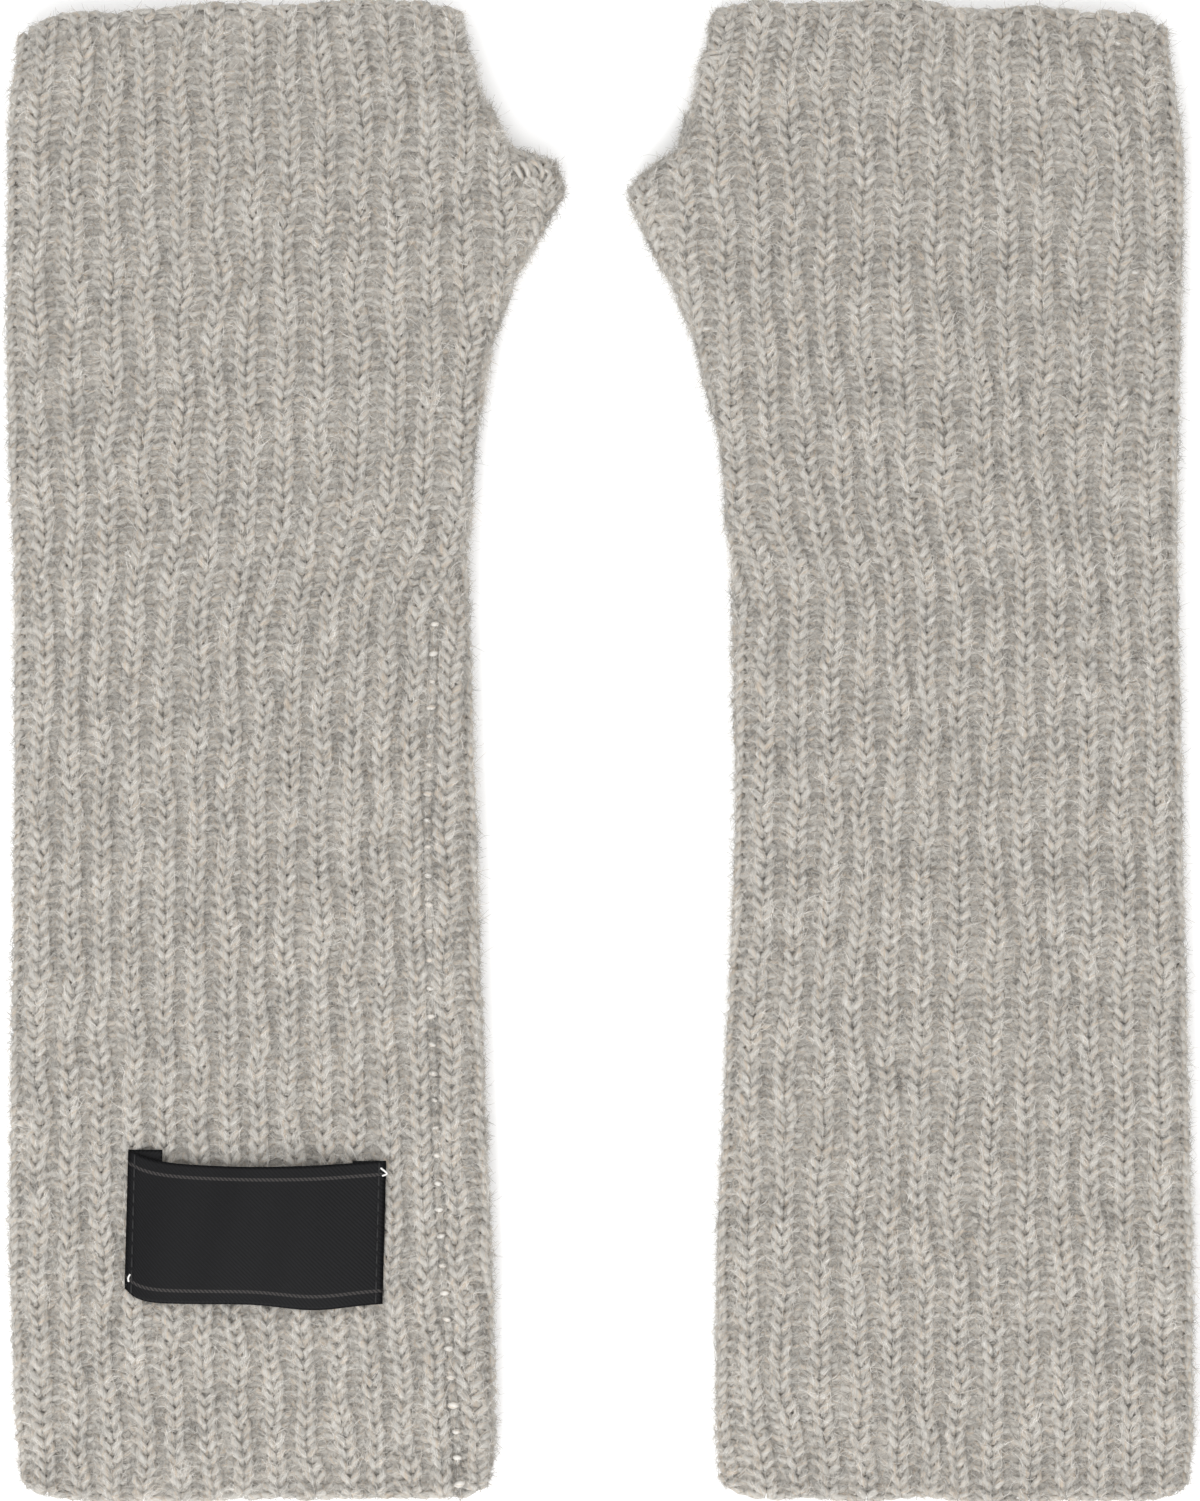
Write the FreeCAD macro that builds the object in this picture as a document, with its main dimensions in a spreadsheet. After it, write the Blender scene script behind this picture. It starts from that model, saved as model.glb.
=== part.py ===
import FreeCAD, Part
import os
from math import pi
import Sketcher

# A pair of long fingerless gloves in thick 1x1 rib wool, lying flat with the fingers' ends at +Y.
# Millimetres. +X is to the right, +Y runs from the cuffs to the fingers, +Z is up from the table.
# The origin is the middle of the pair's bounding box, on the table.
# The gloves are alike, so with both thumbs towards the middle one of them lies face down:
# the left glove shows its seam and label on top, and the right glove has them underneath.
# Each glove is a flattened knitted tube, divided at the wrist so that the hand can fold up.

DIMENSIONS = {
    # flattened knitted tube
    "lay_height": 13.0,
    "wall": 3.0,
    "wrist_gap": 0.3,
    # the underside is pressed flat by this much where it lies on the table
    "settling": 0.1,
    "trim_reach": 200.0,
    # thumb slit, left open in the side seam
    "slit_low": 122.0,
    "slit_high": 145.0,
    "slit_height": 6.0,
    "bar_tack_radius": 0.9,
    # side seam, sewn with a lighter thread sunk into the knit
    "seam_width": 1.6,
    "seam_depth": 0.8,
    # woven label with its ends folded under
    "label_near": 45.9,
    "label_far": 100.5,
    "label_top": -88.4,
    "label_height": 31.0,
    "label_thickness": 0.6,
    "label_fold": 7.0,
    "label_clearance": 1.5,
    # sewing thread on the label
    "thread_radius": 0.35,
    "stitch_length": 1.9,
    "stitch_pitch": 2.6,
    "stitch_inset": 1.2,
    "stitch_margin": 1.5,
    "tack_length": 3.0,
    "tack_offset": 0.6,
    "near_tack_drop": 4.5,
    "far_tack_drop": 26.5,
}

# Stations along each glove: name, distance along Y, then how far the outer edge and the thumb edge
# stand from the pair's middle line on the left glove and on the right glove.
FOREARM_STATIONS = [
    ("cuff_end", -160.5, 119.0, 28.0, 122.0, 29.5),
    ("cuff_corner", -157.0, 124.4, 22.9, 127.0, 25.1),
    ("cuff", -147.0, 126.3, 21.6, 128.2, 24.3),
    ("low_arm", -106.0, 127.6, 22.6, 128.0, 24.4),
    ("mid_arm", -60.0, 127.1, 24.6, 126.7, 26.8),
    ("high_arm", -12.0, 126.5, 26.0, 125.7, 28.5),
    ("wrist", 42.0, 126.6, 27.8, 124.7, 27.4),
]
HAND_STATIONS = [
    ("palm", 66.0, 127.8, 25.7, 124.8, 24.8),
    ("gusset_low", 88.0, 128.2, 22.8, 125.3, 20.1),
    ("gusset_mid", 104.0, 128.1, 16.2, 125.7, 12.7),
    ("gusset_high", 114.0, 128.0, 10.6, 125.9, 7.9),
    ("tip_low", 119.5, 128.0, 7.4, 126.0, 5.0),
    ("tip_high", 122.5, 128.0, 6.9, 126.1, 6.2),
    ("ledge", 126.2, 127.9, 10.0, 126.3, 13.6),
    ("slit_foot", 129.0, 127.9, 17.3, 126.3, 15.6),
    ("slit_middle", 137.0, 127.8, 21.5, 125.6, 17.1),
    ("slit_head", 146.0, 127.2, 25.8, 124.4, 20.1),
    ("finger_corner", 155.0, 125.2, 29.1, 121.9, 24.0),
    ("finger_end", 160.5, 119.5, 33.0, 116.0, 28.0),
]
# How far the seam runs inside the thumb edge at the forearm's stations; on the hand it is constant.
SEAM_INSETS = {
    "cuff_corner": 6.8,
    "cuff": 9.2,
    "low_arm": 11.3,
    "mid_arm": 11.4,
    "high_arm": 10.9,
    "wrist": 6.8,
}
HAND_SEAM_INSET = 6.7
STITCHES_PER_ROW = 11

GLOVES = ("left", "right")
SIDE_SIGN = {"left": -1, "right": 1}

doc = FreeCAD.newDocument("fingerless_gloves")
sheet = doc.addObject("Spreadsheet::Sheet", "sizes")
next_row = 1


def store(alias, value):
    """Write one driving dimension into the sheet under its alias."""
    global next_row
    sheet.set(f"A{next_row}", alias)
    sheet.set(f"B{next_row}", str(value))
    sheet.setAlias(f"B{next_row}", alias)
    next_row += 1


def fill_sheet():
    for alias, value in DIMENSIONS.items():
        store(alias, value)
    for station, along, left_outer, left_thumb, right_outer, right_thumb in FOREARM_STATIONS + HAND_STATIONS:
        store(f"{station}_along", along)
        store(f"{station}_left_outer", left_outer)
        store(f"{station}_left_thumb", left_thumb)
        store(f"{station}_right_outer", right_outer)
        store(f"{station}_right_thumb", right_thumb)
    for station, inset in SEAM_INSETS.items():
        store(f"{station}_seam_inset", inset)
    store("hand_seam_inset", HAND_SEAM_INSET)
    doc.recompute()


def bound(text):
    """The value that an expression of the sheet's aliases has now."""
    return float(sheet.evalExpression(text))


def origin_plane(body, role):
    for feature in body.Origin.OriginFeatures:
        if feature.Role == role:
            return feature
    raise RuntimeError(f"{body.Name} has no {role}")


def new_sketch(body, name, role, offset):
    """A sketch on one of the body's own origin planes, moved along the plane's normal by offset."""
    sketch = body.newObject("Sketcher::SketchObject", name)
    sketch.AttachmentSupport = (origin_plane(body, role), [""])
    sketch.MapMode = "FlatFace"
    sketch.setExpression("AttachmentOffset.Base.z", offset)
    return sketch


def bind(sketch, constraint, expression):
    index = sketch.addConstraint(constraint)
    sketch.setExpression(f"Constraints[{index}]", expression)


def place_point(sketch, geometry, position, across, up):
    """Hold one point of the sketch at two expressions measured from the sketch's origin."""
    bind(sketch, Sketcher.Constraint("DistanceX", -1, 1, geometry, position, bound(across)), across)
    bind(sketch, Sketcher.Constraint("DistanceY", -1, 1, geometry, position, bound(up)), up)


def polygon(sketch, corners):
    """A closed outline through corners, each a pair of expressions."""
    points = [FreeCAD.Vector(bound(across), bound(up), 0) for across, up in corners]
    count = len(points)
    for index in range(count):
        sketch.addGeometry(Part.LineSegment(points[index], points[(index + 1) % count]), False)
    for index in range(count):
        sketch.addConstraint(Sketcher.Constraint("Coincident", index, 2, (index + 1) % count, 1))
    for index, (across, up) in enumerate(corners):
        place_point(sketch, index, 1, across, up)


def tube_section(body, name, low_edge, high_edge, along, inset):
    """The flattened tube's section at one station: two flats joined by half circles."""
    half = "(sizes.lay_height + sizes.settling) / 2"
    radius = f"{half} - {inset}"
    low_centre = f"{low_edge} + {half}"
    high_centre = f"{high_edge} - {half}"
    centre_height = f"sizes.lay_height - {half}"
    low_x = bound(low_centre)
    high_x = bound(high_centre)
    middle = bound(centre_height)
    size = bound(radius)
    quarter = pi / 2
    sketch = new_sketch(body, name, "XZ_Plane", f"-({along})")
    normal = FreeCAD.Vector(0, 0, 1)
    bottom = middle - size
    top = middle + size
    sketch.addGeometry(Part.LineSegment(FreeCAD.Vector(low_x, bottom, 0), FreeCAD.Vector(high_x, bottom, 0)))
    high_circle = Part.Circle(FreeCAD.Vector(high_x, middle, 0), normal, size)
    sketch.addGeometry(Part.ArcOfCircle(high_circle, -quarter, quarter))
    sketch.addGeometry(Part.LineSegment(FreeCAD.Vector(high_x, top, 0), FreeCAD.Vector(low_x, top, 0)))
    low_circle = Part.Circle(FreeCAD.Vector(low_x, middle, 0), normal, size)
    sketch.addGeometry(Part.ArcOfCircle(low_circle, quarter, 3 * quarter))
    for index in range(4):
        sketch.addConstraint(Sketcher.Constraint("Tangent", index, 2, (index + 1) % 4, 1))
    sketch.addConstraint(Sketcher.Constraint("Horizontal", 0))
    bind(sketch, Sketcher.Constraint("DistanceX", -1, 1, 1, 3, high_x), high_centre)
    bind(sketch, Sketcher.Constraint("DistanceX", -1, 1, 3, 3, low_x), low_centre)
    bind(sketch, Sketcher.Constraint("DistanceY", -1, 1, 1, 3, middle), centre_height)
    bind(sketch, Sketcher.Constraint("Radius", 3, size), radius)
    return sketch


def edge(glove, station, which):
    """X of the outer or thumb edge at a station, as an expression."""
    sign = "-" if SIDE_SIGN[glove] < 0 else ""
    return f"{sign}sizes.{station}_{glove}_{which}"


def low_and_high_edges(glove, station):
    """The two edges at a station in rising X."""
    if glove == "left":
        return edge(glove, station, "outer"), edge(glove, station, "thumb")
    return edge(glove, station, "thumb"), edge(glove, station, "outer")


def along_at(station):
    return f"sizes.{station}_along"


def forearm_run():
    """The forearm's stations, each with the expression for its distance along Y."""
    return [(row[0], along_at(row[0])) for row in FOREARM_STATIONS]


def hand_run():
    """The hand starts from the wrist's own section, a small gap further on."""
    run = [("wrist", "sizes.wrist_along + sizes.wrist_gap")]
    for row in HAND_STATIONS:
        run.append((row[0], along_at(row[0])))
    return run


def tube(body, glove, run, inset, kind, tag):
    """Ruled loft through the glove's sections, solid or cut away."""
    sketches = []
    for station, along in run:
        low_edge, high_edge = low_and_high_edges(glove, station)
        name = f"{body.Name}_{tag}_{station}"
        sketches.append(tube_section(body, name, low_edge, high_edge, along, inset))
    loft = body.newObject(kind, f"{body.Name}_{tag}")
    loft.Profile = sketches[0]
    loft.Sections = sketches[1:]
    loft.Ruled = True
    return loft


def pocket(body, sketch, name, length, symmetric=False, reverse=False):
    """Cut the sketch out of the body and make sure that it did remove something."""
    doc.recompute()
    before = body.Shape.Volume
    cut = body.newObject("PartDesign::Pocket", name)
    cut.Profile = sketch
    cut.Type = "Length"
    cut.SideType = "Symmetric" if symmetric else "One side"
    cut.Reversed = reverse
    cut.setExpression("Length", length)
    doc.recompute()
    if before - body.Shape.Volume < 1.0:
        raise RuntimeError(f"{name} removed nothing")
    return cut


def seam_face(glove):
    """Height of the face that carries the seam: the top of the left glove, the underside of the right."""
    return "sizes.lay_height" if glove == "left" else "0"


def seam_outline(glove, run):
    """A narrow band about the seam line: run lists (station, inset expression, along expression)."""
    towards_outer = "-" if glove == "left" else "+"
    towards_thumb = "+" if glove == "left" else "-"
    outer_side = []
    thumb_side = []
    for station, inset, along in run:
        line = f"{edge(glove, station, 'thumb')} {towards_outer} {inset}"
        outer_side.append((f"{line} {towards_outer} sizes.seam_width / 2", along))
        thumb_side.append((f"{line} {towards_thumb} sizes.seam_width / 2", along))
    return outer_side + thumb_side[::-1]


def forearm_seam_run():
    return [(station, f"sizes.{station}_seam_inset", along_at(station)) for station in SEAM_INSETS]


def hand_seam_run():
    """From the wrist up to the tip of the thumb."""
    run = [("wrist", "sizes.hand_seam_inset", "sizes.wrist_along + sizes.wrist_gap")]
    for station in ("palm", "gusset_low", "gusset_mid", "gusset_high", "tip_low"):
        run.append((station, "sizes.hand_seam_inset", along_at(station)))
    return run


def finger_seam_run():
    """From the top of the thumb slit to the fingers' edge."""
    return [(station, "sizes.hand_seam_inset", along_at(station)) for station in ("slit_head", "finger_corner")]


def cut_groove(body, glove, run, tag):
    sketch = new_sketch(body, f"{body.Name}_{tag}_outline", "XY_Plane", seam_face(glove))
    polygon(sketch, seam_outline(glove, run))
    pocket(body, sketch, f"{body.Name}_{tag}", "sizes.seam_depth", reverse=(glove == "right"))


def seam(glove, name, run):
    """The sewn seam as a flat strand that fills its groove flush with the knit."""
    body = doc.addObject("PartDesign::Body", f"{glove}_{name}")
    lowest = {"left": "sizes.lay_height - sizes.seam_depth", "right": "0"}
    sketch = new_sketch(body, f"{glove}_{name}_outline", "XY_Plane", lowest[glove])
    polygon(sketch, seam_outline(glove, run))
    strand = body.newObject("PartDesign::Pad", f"{glove}_{name}_strand")
    strand.Profile = sketch
    strand.setExpression("Length", "sizes.seam_depth")
    return body


def label_span(glove):
    """The label's two ends in rising X, as expressions."""
    if glove == "left":
        return "-sizes.label_far", "-sizes.label_near"
    return "sizes.label_near", "sizes.label_far"


def label_height(glove, outward):
    """Height of a point that stands outward from the knit under the label."""
    if glove == "left":
        return f"sizes.lay_height + {outward}"
    return f"2 * sizes.label_thickness + 2 * sizes.thread_radius - ({outward})"


def cut_label_recess(body):
    """The right glove rests on its label, which the soft knit takes in, threads and all."""
    low, high = label_span("right")
    margin = "sizes.label_clearance"
    bottom = f"sizes.label_top - sizes.label_height - {margin}"
    top = f"sizes.label_top + {margin}"
    sketch = new_sketch(body, "right_label_recess_outline", "XY_Plane", "0")
    polygon(sketch, [
        (f"{low} - {margin}", bottom),
        (f"{high} + {margin}", bottom),
        (f"{high} + {margin}", top),
        (f"{low} - {margin}", top),
    ])
    depth = "2 * sizes.label_thickness + 2 * sizes.thread_radius"
    pocket(body, sketch, "right_label_recess", depth, reverse=True)


def flat_tube(glove, name, run):
    """The hollow tube through a run of stations, pressed flat underneath where it lies on the table."""
    body = doc.addObject("PartDesign::Body", f"{glove}_{name}")
    tube(body, glove, run, "0", "PartDesign::AdditiveLoft", "outside")
    tube(body, glove, run, "sizes.wall", "PartDesign::SubtractiveLoft", "inside")
    sketch = new_sketch(body, f"{body.Name}_table_outline", "XY_Plane", "0")
    polygon(sketch, [
        ("-sizes.trim_reach", "-sizes.trim_reach"),
        ("sizes.trim_reach", "-sizes.trim_reach"),
        ("sizes.trim_reach", "sizes.trim_reach"),
        ("-sizes.trim_reach", "sizes.trim_reach"),
    ])
    pocket(body, sketch, f"{body.Name}_underside", "sizes.lay_height")
    return body


def forearm_sleeve(glove):
    body = flat_tube(glove, "forearm_sleeve", forearm_run())
    cut_groove(body, glove, forearm_seam_run(), "seam_groove")
    if glove == "right":
        cut_label_recess(body)
    return body


def hand_sleeve(glove):
    """The hand's tube with the thumb slit through its slanting side."""
    body = flat_tube(glove, "hand_sleeve", hand_run())
    low = "sizes.lay_height / 2 - sizes.slit_height / 2"
    high = "sizes.lay_height / 2 + sizes.slit_height / 2"
    sketch = new_sketch(body, f"{glove}_slit_outline", "YZ_Plane", "0")
    polygon(sketch, [
        ("sizes.slit_low", low),
        ("sizes.slit_high", low),
        ("sizes.slit_high", high),
        ("sizes.slit_low", high),
    ])
    reach = f"2 * sizes.finger_end_{glove}_thumb"
    pocket(body, sketch, f"{glove}_thumb_slit", reach, symmetric=True)
    cut_groove(body, glove, hand_seam_run(), "hand_groove")
    cut_groove(body, glove, finger_seam_run(), "finger_groove")
    return body


def rod(name, axis, radius, length, base):
    """A round bar of thread or yarn along axis Y or Z, starting at base."""
    bar = doc.addObject("Part::Cylinder", name)
    if axis == "Y":
        bar.Placement.Rotation = FreeCAD.Rotation(FreeCAD.Vector(1, 0, 0), -90)
    bar.setExpression("Radius", radius)
    bar.setExpression("Height", length)
    for coordinate, expression in zip("xyz", base):
        bar.setExpression(f"Placement.Base.{coordinate}", expression)
    return bar


def bar_tack(glove, name, station, along):
    """Yarn bar that closes one end of the thumb slit between the upper and the lower layer."""
    inward = "-" if glove == "left" else "+"
    across = f"{edge(glove, station, 'thumb')} {inward} sizes.wall"
    lift = "sizes.lay_height / 2 - sizes.slit_height / 2"
    base = (across, along, lift)
    return rod(f"{glove}_{name}", "Z", "sizes.bar_tack_radius", "sizes.slit_height", base)


def label(glove):
    """Woven tape with both ends folded under, so the middle stands off the knit."""
    body = doc.addObject("PartDesign::Body", f"{glove}_label")
    low, high = label_span(glove)
    fold = "sizes.label_fold"
    knit = label_height(glove, "0")
    flap = label_height(glove, "sizes.label_thickness")
    face = label_height(glove, "2 * sizes.label_thickness")
    sketch = new_sketch(body, f"{glove}_label_profile", "XZ_Plane", "-sizes.label_top")
    polygon(sketch, [
        (low, knit),
        (f"{low} + {fold}", knit),
        (f"{low} + {fold}", flap),
        (f"{high} - {fold}", flap),
        (f"{high} - {fold}", knit),
        (high, knit),
        (high, face),
        (low, face),
    ])
    tape = body.newObject("PartDesign::Pad", f"{glove}_label_tape")
    tape.Profile = sketch
    tape.setExpression("Length", "sizes.label_height")
    return body


def stitch_row(glove, name, across):
    """One row of thread stitches across the label's end, kept together as a group of solids."""
    outward = "2 * sizes.label_thickness + sizes.thread_radius"
    stitches = []
    for index in range(STITCHES_PER_ROW):
        along = f"sizes.label_top - sizes.stitch_margin - {index} * sizes.stitch_pitch - sizes.stitch_length"
        base = (across, along, label_height(glove, outward))
        stitch = rod(f"{glove}_{name}_{index + 1}", "Y", "sizes.thread_radius", "sizes.stitch_length", base)
        stitches.append(stitch)
    row = doc.addObject("Part::Compound", f"{glove}_{name}")
    row.Links = stitches
    return row


def thread_tack(glove, name, across, drop):
    """A short tack of light thread on the knit beside the label's end."""
    along = f"sizes.label_top - {drop} - sizes.tack_length"
    base = (across, along, label_height(glove, "sizes.thread_radius"))
    return rod(f"{glove}_{name}", "Y", "sizes.thread_radius", "sizes.tack_length", base)


def build_glove(glove):
    outward = "-" if glove == "left" else "+"
    inward = "+" if glove == "left" else "-"
    near = f"{outward}sizes.label_near"
    far = f"{outward}sizes.label_far"
    slit_start = "sizes.slit_low + sizes.bar_tack_radius"
    slit_stop = "sizes.slit_high - sizes.bar_tack_radius"
    return {
        f"{glove}_forearm_sleeve": forearm_sleeve(glove),
        f"{glove}_hand_sleeve": hand_sleeve(glove),
        f"{glove}_forearm_seam": seam(glove, "forearm_seam", forearm_seam_run()),
        f"{glove}_hand_seam": seam(glove, "hand_seam", hand_seam_run()),
        f"{glove}_finger_seam": seam(glove, "finger_seam", finger_seam_run()),
        f"{glove}_thumb_tack_low": bar_tack(glove, "thumb_tack_low", "tip_low", slit_start),
        f"{glove}_thumb_tack_high": bar_tack(glove, "thumb_tack_high", "slit_head", slit_stop),
        f"{glove}_label": label(glove),
        f"{glove}_label_stitches_near": stitch_row(
            glove, "label_stitches_near", f"{near} {outward} sizes.stitch_inset"),
        f"{glove}_label_stitches_far": stitch_row(
            glove, "label_stitches_far", f"{far} {inward} sizes.stitch_inset"),
        f"{glove}_label_tack_near": thread_tack(
            glove, "label_tack_near", f"{near} {inward} sizes.tack_offset", "sizes.near_tack_drop"),
        f"{glove}_label_tack_far": thread_tack(
            glove, "label_tack_far", f"{far} {outward} sizes.tack_offset", "sizes.far_tack_drop"),
    }


def check_and_export(nodes):
    doc.recompute()
    for item in doc.Objects:
        if "Invalid" in item.State or "Error" in item.State:
            raise RuntimeError(f"{item.Name} did not recompute: {item.State}")
    for name, item in nodes.items():
        if item.Shape.isNull() or not item.Shape.isValid():
            raise RuntimeError(f"{name} has no valid shape")
    os.makedirs("parts", exist_ok=True)
    for name, item in nodes.items():
        item.Label = name
        item.Shape.exportStep(f"parts/{name}.step")
        box = item.Shape.BoundBox
        span = f"X {box.XMin:.1f}..{box.XMax:.1f}  Y {box.YMin:.1f}..{box.YMax:.1f}  Z {box.ZMin:.2f}..{box.ZMax:.2f}"
        print(f"{name}: {len(item.Shape.Solids)} solid(s), {item.Shape.Volume:.0f} mm3, {span}")


fill_sheet()
all_nodes = {}
for glove_name in GLOVES:
    all_nodes.update(build_glove(glove_name))
check_and_export(all_nodes)
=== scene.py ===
"""A pair of long fingerless gloves, knitted in one-by-one rib from grey marl wool, lying flat side by side.

Every yarn is modelled: each course of knitting is one continuous tube of yarn that runs round the sleeve in
loops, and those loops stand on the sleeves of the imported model. Lengths in the knitting are in millimetres
until make_mesh turns them into metres.
"""

import math

import bpy
import numpy as np
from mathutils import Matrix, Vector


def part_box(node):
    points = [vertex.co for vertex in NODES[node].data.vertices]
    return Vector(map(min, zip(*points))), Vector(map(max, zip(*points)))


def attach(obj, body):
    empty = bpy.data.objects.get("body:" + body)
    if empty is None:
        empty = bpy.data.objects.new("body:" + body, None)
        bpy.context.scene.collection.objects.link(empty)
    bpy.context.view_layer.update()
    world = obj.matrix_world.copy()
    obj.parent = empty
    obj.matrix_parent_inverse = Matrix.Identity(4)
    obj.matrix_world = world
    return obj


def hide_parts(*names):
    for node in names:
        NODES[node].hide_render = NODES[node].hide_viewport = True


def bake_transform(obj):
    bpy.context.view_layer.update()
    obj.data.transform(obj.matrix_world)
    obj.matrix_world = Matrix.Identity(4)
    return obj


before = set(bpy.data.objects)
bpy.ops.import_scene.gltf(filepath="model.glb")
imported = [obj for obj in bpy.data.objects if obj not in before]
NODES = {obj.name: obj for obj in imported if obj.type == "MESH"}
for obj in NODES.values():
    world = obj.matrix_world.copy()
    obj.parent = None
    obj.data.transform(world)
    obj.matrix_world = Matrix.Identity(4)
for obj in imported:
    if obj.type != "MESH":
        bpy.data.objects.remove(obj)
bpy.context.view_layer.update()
MM = 0.001
SEED = 20

# the knitting
COURSE_PITCH = 2.62  # from one course of loops to the next
YARN_RADIUS = 0.85
LOOP_RISE = 0.7  # how far a loop stands out of the sheet, on average
LEG_RISE = 0.8  # how much more its legs stand out than its head
PURL_RISE = 1.2  # the same for the loops that stand inwards
PURL_LEG_RISE = 0.5
RIB_GATHER = 0.045  # how much wider the ribs are than the grooves between them
LOOP_REACH = 2.1  # half the height of a loop
LOOP_WAIST = 0.29  # how much a loop narrows at its foot, in wales
KNIT_REACH = LOOP_RISE + LEG_RISE + YARN_RADIUS  # from the middle of the sheet to its outside
FRONT_RIBS = 13.5  # ribs on the face with the seam, from the outer fold to the seam
BACK_RIBS = 13.6  # ribs on the other face, from fold to fold
SEAM_RIBS = 1.9  # ribs between the thumb fold and the seam
POINTS_PER_LOOP = 10
CORE_INSET = 1.2  # how far the felted core ends inside the edges
YARN_SIDES = 6
YARN_MAP_GAP = 7.3  # between one yarn and the next on the texture map
EDGE_COURSES = 1.7  # how far the first course lies inside the edge
SEAM_ROUND_START = 26.0  # the seam leaves the face for the thumb fold between these two places
SEAM_ROUND_END = 54.0
THUMB_CORNER = 2.0  # how far the corner of the gusset's tip stands out
THUMB_CORNER_Y = 126.2
THUMB_CORNER_WIDTH = 1.4
SLIT_START = 124.5
SLIT_END = 147.5
SLIT_ARC = 1.6  # half the opening of the thumb slit, round the fold
GUSSET_LOW = 72.0  # the gusset's extra ribs lie outside the main ribs between these two places
GUSSET_HIGH = 142.0
STATION_OFFSET = 0.013  # keeps the stations off the CAD's own rings of points
END_CLAMP = 153.0  # beyond this the outline stays as wide as it is here
SLIT_CLOSING_LOW = 4.0  # the slit opens and closes over these lengths
SLIT_CLOSING_HIGH = 3.0
LOOP_OVERHANG = 0.5  # how far a loop may pass the edge of the sheet
LAST_LOOP = 0.7  # the share of its width that the last loop of a course may lack
RIB_WANDER = 0.07  # how far the ribs stray sideways, in ribs
COURSE_WANDER = 0.5  # how far the courses stray up and down
LIMIT_SOFTNESS = 0.12  # the share of its way past the sheet's edge that a yarn keeps
WALE_SPREAD = 0.05  # how uneven the loops are: their place across, in wales
LEG_SPREAD = 0.15  # their rise
HEIGHT_SPREAD = 0.08  # their height, as a share
COURSE_SPREAD = 0.18  # their place up and down
RADIUS_SPREAD = 0.07  # their thickness, as a share
END_LOOP = 0.62  # the height of the loops that bind off each end, as a share
PUFF = 0.45  # how unevenly the upper face lies

# the ends of the sleeve, which aren't quite straight
FINGER_FALL = 4.0  # how much lower the fingers' edge lies at the outer fold
FINGER_FALL_START = 52.0  # from this distance from the line between the gloves
FINGER_FALL_REACH = 74.0
FINGER_FALL_LOW = 30.0  # and above this height
CORNER_REACH = 6.5
CORNER_DEPTH = 14.0
CUFF_CORNER_RISE = 2.8
FINGER_CORNER_DROP = 2.2

# the flat map for baking: ribs across, millimetres up
FLAT_MAP_RIBS = 33.0
FLAT_MAP_FIRST_RIB = BACK_RIBS + SEAM_RIBS + 1
FLAT_MAP_MARGIN = 5.0

left_sleeve_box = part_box("left_forearm_sleeve")
MIDDLE = left_sleeve_box[1].z / MM / 2  # the height of the mid plane
FOLD_RADIUS = MIDDLE - KNIT_REACH
QUARTER = math.pi / 2 * FOLD_RADIUS
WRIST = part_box("left_hand_sleeve")[0].y / MM
LOW_END = left_sleeve_box[0].y / MM
HIGH_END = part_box("left_hand_sleeve")[1].y / MM
LABEL_PRESS = {"left": 0.6, "right": 2.2}  # the right glove lies on its label
PRESS_OUTSIDE = 2.5  # the hollow under the label deepens from here outside its edge
PRESS_INSIDE = 1.0  # to here inside it
LABEL_ROOM = 0.5  # loose fibres keep in this far beyond the label's ends
LABEL_ROOM_BELOW = 0.4
LABEL_ROOM_ABOVE = 3.2


def smooth(x, low, high):
    """0 below low, 1 above high, with a smooth rise between them."""
    t = np.clip((np.asarray(x, float) - low) / (high - low), 0, 1)
    return t * t * (3 - 2 * t)


def blur(values, width):
    """Values sampled every millimetre, smoothed over a width in millimetres."""
    reach = int(3 * width)
    offsets = np.arange(-reach, reach + 1)
    weights = np.exp(-0.5 * (offsets / width) ** 2)
    padded = np.pad(values, reach, mode="edge")
    return np.convolve(padded, weights / weights.sum(), mode="valid")


def read_mesh(node):
    """A CAD node's points in millimetres, and its edges as pairs of their numbers."""
    mesh = NODES[node].data
    points = np.zeros(len(mesh.vertices) * 3)
    mesh.vertices.foreach_get("co", points)
    edges = np.zeros(len(mesh.edges) * 2, np.int64)
    mesh.edges.foreach_get("vertices", edges)
    return points.reshape(-1, 3) / MM, edges.reshape(-1, 2)


class Waves:
    """A smooth seeded noise over a plane: a sum of plane waves between two wavelengths."""

    def __init__(self, rng, shortest, longest, count=14):
        wavelength = np.exp(rng.uniform(math.log(shortest), math.log(longest), count))
        heading = rng.uniform(0, 2 * math.pi, count)
        self.across = 2 * math.pi / wavelength * np.cos(heading)
        self.along = 2 * math.pi / wavelength * np.sin(heading)
        self.phase = rng.uniform(0, 2 * math.pi, count)
        self.size = 1 / math.sqrt(count / 2)

    def __call__(self, x, y):
        x, y = np.broadcast_arrays(np.asarray(x, float), np.asarray(y, float))
        total = np.zeros(x.shape)
        for across, along, phase in zip(self.across, self.along, self.phase):
            total += np.sin(x * across + y * along + phase)
        return total * self.size


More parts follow.
